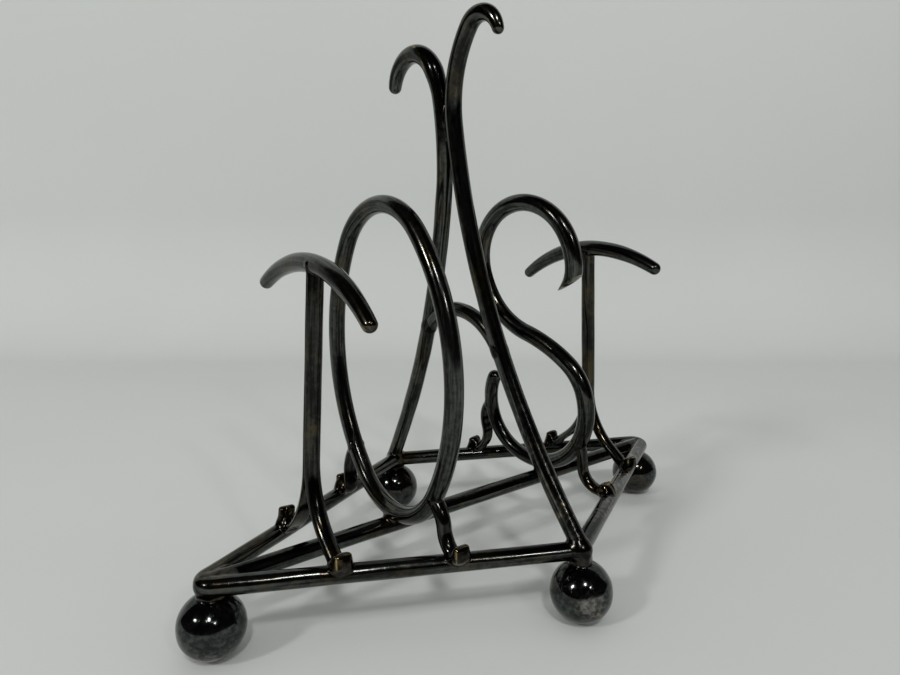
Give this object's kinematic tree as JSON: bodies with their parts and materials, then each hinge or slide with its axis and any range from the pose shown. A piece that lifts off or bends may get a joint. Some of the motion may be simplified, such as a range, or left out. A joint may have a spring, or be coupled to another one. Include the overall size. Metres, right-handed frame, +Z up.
{
  "type": "wire toast rack",
  "caption": "Soldered wire toast rack: a rhombus base frame on ball feet carries upright wire dividers bent into letters, with open slots between them for toast.",
  "frame": {"origin": "on the standing surface under the middle of the base frame", "axes": "+Z up; +X along the long diagonal of the base, from the first T divider towards the last T; +Y along the short diagonal, to the left of a reader who faces the dividers from the first T"},
  "size_m": [0.1618, 0.0948, 0.1411],
  "materials": {
    "tarnished_plate": "polished, tarnished silver plate",
    "ball_plate": "polished, mottled silver plate",
    "solder": "satin, tarnished"
  },
  "bodies": {
    "root": {"a_crossbar": "tarnished_plate", "a_leg_left": "tarnished_plate", "a_leg_right": "tarnished_plate", "ball_foot_first_t": "ball_plate", "ball_foot_last_t": "ball_plate", "ball_foot_left": "ball_plate", "ball_foot_right": "ball_plate", "base_rail_first_t": "tarnished_plate", "base_rail_last_t": "tarnished_plate", "first_t_crossbar": "tarnished_plate", "first_t_upright_left": "tarnished_plate", "first_t_upright_right": "tarnished_plate", "foot_collar_first_t": "solder", "foot_collar_last_t": "solder", "foot_collar_left": "solder", "foot_collar_right": "solder", "last_t_crossbar": "tarnished_plate", "last_t_upright_left": "tarnished_plate", "last_t_upright_right": "tarnished_plate", "o_foot_left": "tarnished_plate", "o_foot_right": "tarnished_plate", "o_ring": "tarnished_plate", "o_seat": "solder", "s_foot_left": "tarnished_plate", "s_foot_right": "tarnished_plate", "s_seat": "solder", "s_wire": "tarnished_plate", "spine_rod": "tarnished_plate"}
  },
  "joints": []
}
